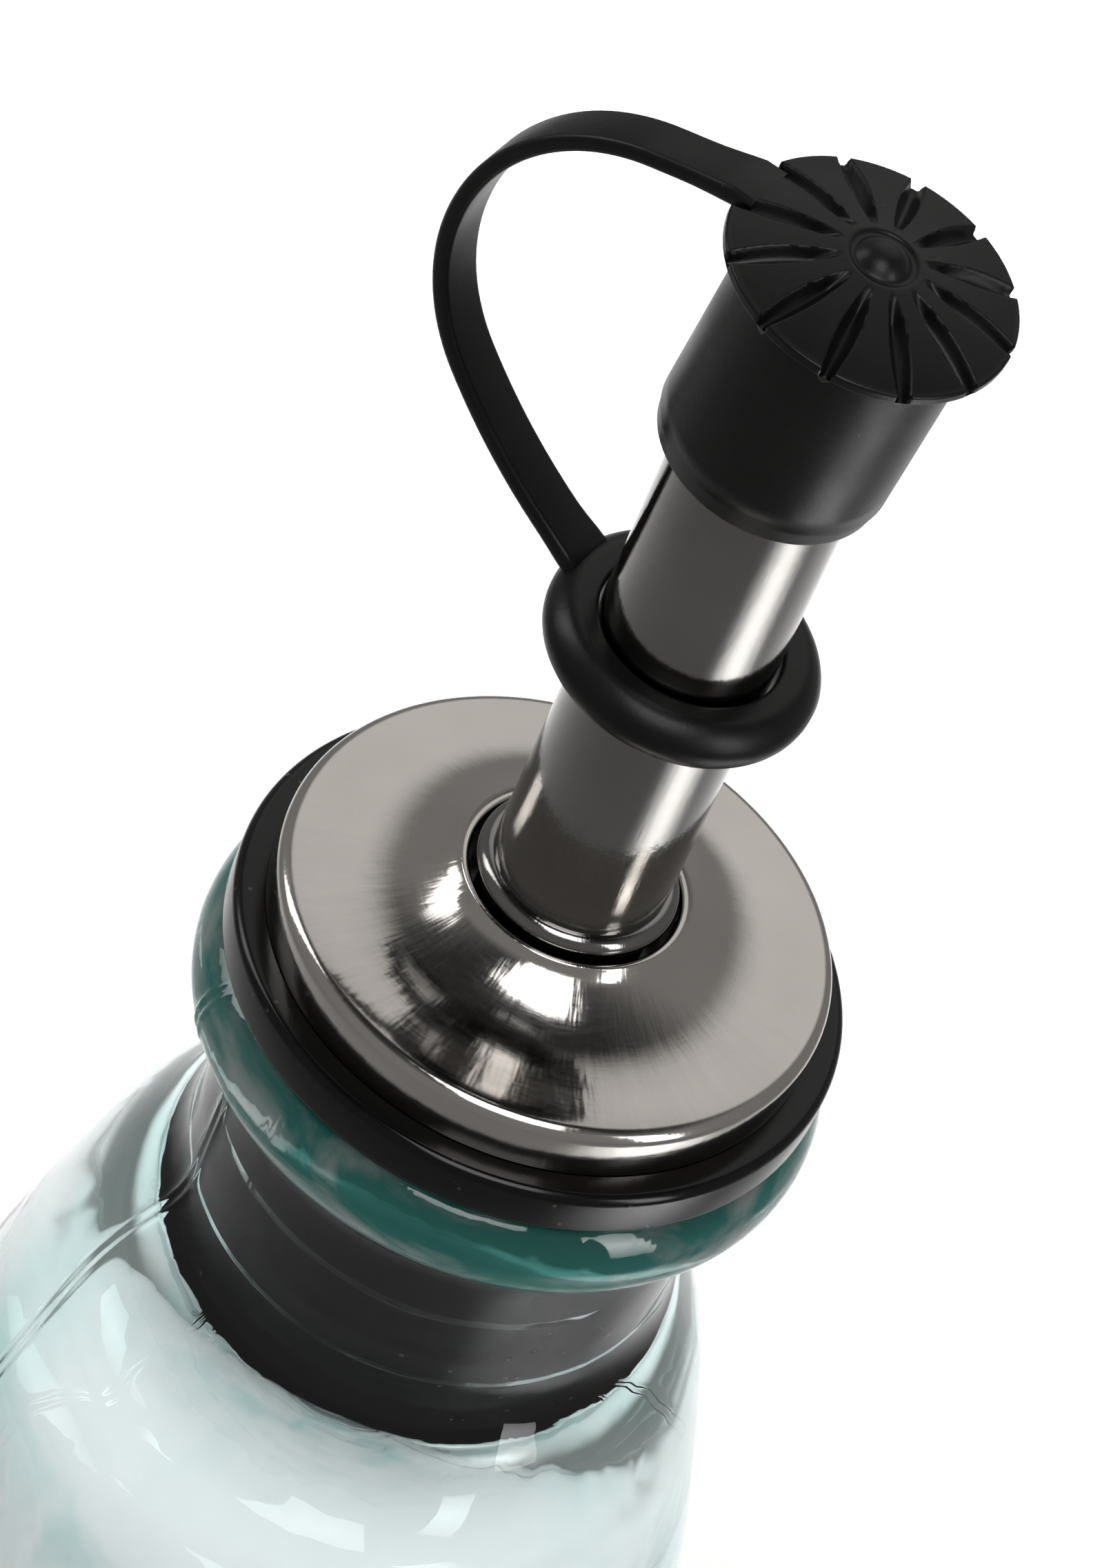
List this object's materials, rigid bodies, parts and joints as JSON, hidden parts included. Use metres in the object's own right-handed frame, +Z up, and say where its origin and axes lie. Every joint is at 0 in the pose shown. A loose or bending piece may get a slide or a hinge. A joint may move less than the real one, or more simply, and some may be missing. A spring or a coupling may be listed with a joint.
{
  "type": "oil bottle with pourer",
  "caption": "Round glass oil bottle with a rubber-stoppered steel pouring spout and a tethered rubber dust cap.",
  "frame": {"origin": "centre of the base, on the surface that the bottle stands on", "axes": "+Z up along the bottle's and the spout's axis; the dust cap's tether stands 16 degrees behind -X"},
  "size_m": [0.07, 0.07, 0.2828],
  "materials": {
    "bottle_glass": "clear recycled glass with a green-blue tint where it is thick",
    "stopper_rubber": "satin black moulded rubber",
    "cover_steel": "pressed stainless steel, spun and polished",
    "spout_steel": "polished stainless steel tube",
    "air_tube_steel": "drawn stainless steel tube",
    "plate_plastic": "black moulded plastic",
    "ring_rubber": "satin black moulded rubber",
    "strap_rubber": "satin black moulded rubber",
    "cap_rubber": "satin black moulded rubber"
  },
  "bodies": {
    "bottle": {"glass_bottle": "bottle_glass"},
    "stopper": {"rubber_stopper": "stopper_rubber", "steel_cover": "cover_steel", "spout_tube": "spout_steel", "air_tube": "air_tube_steel", "flow_plate": "plate_plastic"},
    "tether": {"tether_ring": "ring_rubber", "tether_strap": "strap_rubber"},
    "cap": {"dust_cap": "cap_rubber"}
  },
  "joints": [
    {"name": "stopper_pull", "type": "slide", "parent": "bottle", "child": "stopper", "axis": [0, 0, 1], "range_m": [0, 0.05]},
    {"name": "tether_swivel", "type": "hinge", "parent": "stopper", "child": "tether", "pos_m": [0, 0, 0.246], "axis": [0, 0, 1], "continuous": true},
    {"name": "cap_lift", "type": "slide", "parent": "tether", "child": "cap", "axis": [0, 0, 1], "range_m": [0, 0.012], "deforming": ["tether_strap"]}
  ]
}
